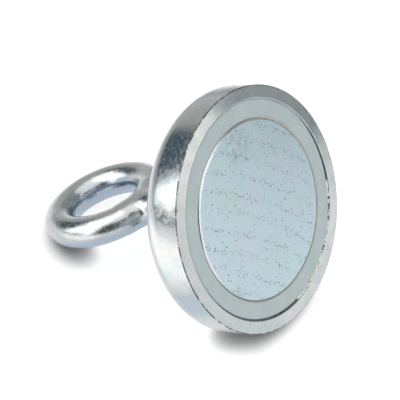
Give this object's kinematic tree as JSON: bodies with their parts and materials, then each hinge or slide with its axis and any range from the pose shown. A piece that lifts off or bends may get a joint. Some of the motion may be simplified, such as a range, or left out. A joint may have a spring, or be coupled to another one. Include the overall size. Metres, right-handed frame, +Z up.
{
  "type": "magnet fishing magnet",
  "caption": "Round pot magnet with a screwed-in lifting eye, lying on its side: a plated steel cup holds a magnet disc in a spacer ring, to pull iron out of water on a line.",
  "frame": {"origin": "the floor under the middle of the part's box, with the part lying as in the picture on its back edge and the tip of its eye", "axes": "+Z up from the floor, +Y from the magnet's face towards the eye, +X across the pot"},
  "size_m": [0.075, 0.0926, 0.0721],
  "materials": {
    "pot_plating": "bright zinc plating with soft blotchy reflections",
    "bush_plating": "turned steel, bright zinc plating",
    "magnet_plating": "satin zinc plating with fine dark pits",
    "adhesive": "cured resin",
    "spacer": "smooth grey moulding",
    "sealant": "cured dark sealant",
    "fastener_plating": "bright zinc plating",
    "spring_steel": "zinc plated spring steel",
    "eye_plating": "forged steel, bright zinc plating with soft blotchy reflections"
  },
  "bodies": {
    "eyebolt": {"eyebolt": "eye_plating"},
    "flat_washer": {"flat_washer": "fastener_plating"},
    "pot": {"pot_cup": "pot_plating", "threaded_bush": "bush_plating", "magnet_disc": "magnet_plating", "magnet_adhesive": "adhesive", "spacer_ring": "spacer", "sealant_band": "sealant"},
    "spring_washer": {"spring_washer": "spring_steel"},
    "jam_nut": {"jam_nut": "fastener_plating"}
  },
  "joints": [
    {"name": "pot_travel", "type": "slide", "parent": "eyebolt", "child": "flat_washer", "axis": [0, -0.908, 0.4189], "range_m": [0, 0.0135]},
    {"name": "pot_turn", "type": "hinge", "parent": "flat_washer", "child": "pot", "pos_m": [0, -0.03069, 0.0382], "axis": [0, -0.908, 0.4189], "range_deg": [0, 3243]},
    {"name": "nut_travel", "type": "slide", "parent": "eyebolt", "child": "spring_washer", "axis": [0, 0.908, -0.4189], "range_m": [0, 0.00225]},
    {"name": "nut_turn", "type": "hinge", "parent": "spring_washer", "child": "jam_nut", "pos_m": [0, -0.00313, 0.02549], "axis": [0, 0.908, -0.4189], "range_deg": [0, 542]}
  ],
  "couplings": [
    {"joint": "pot_turn", "follows": "pot_travel", "rad_per_m": 4188.8},
    {"joint": "nut_turn", "follows": "nut_travel", "rad_per_m": 4188.8}
  ]
}
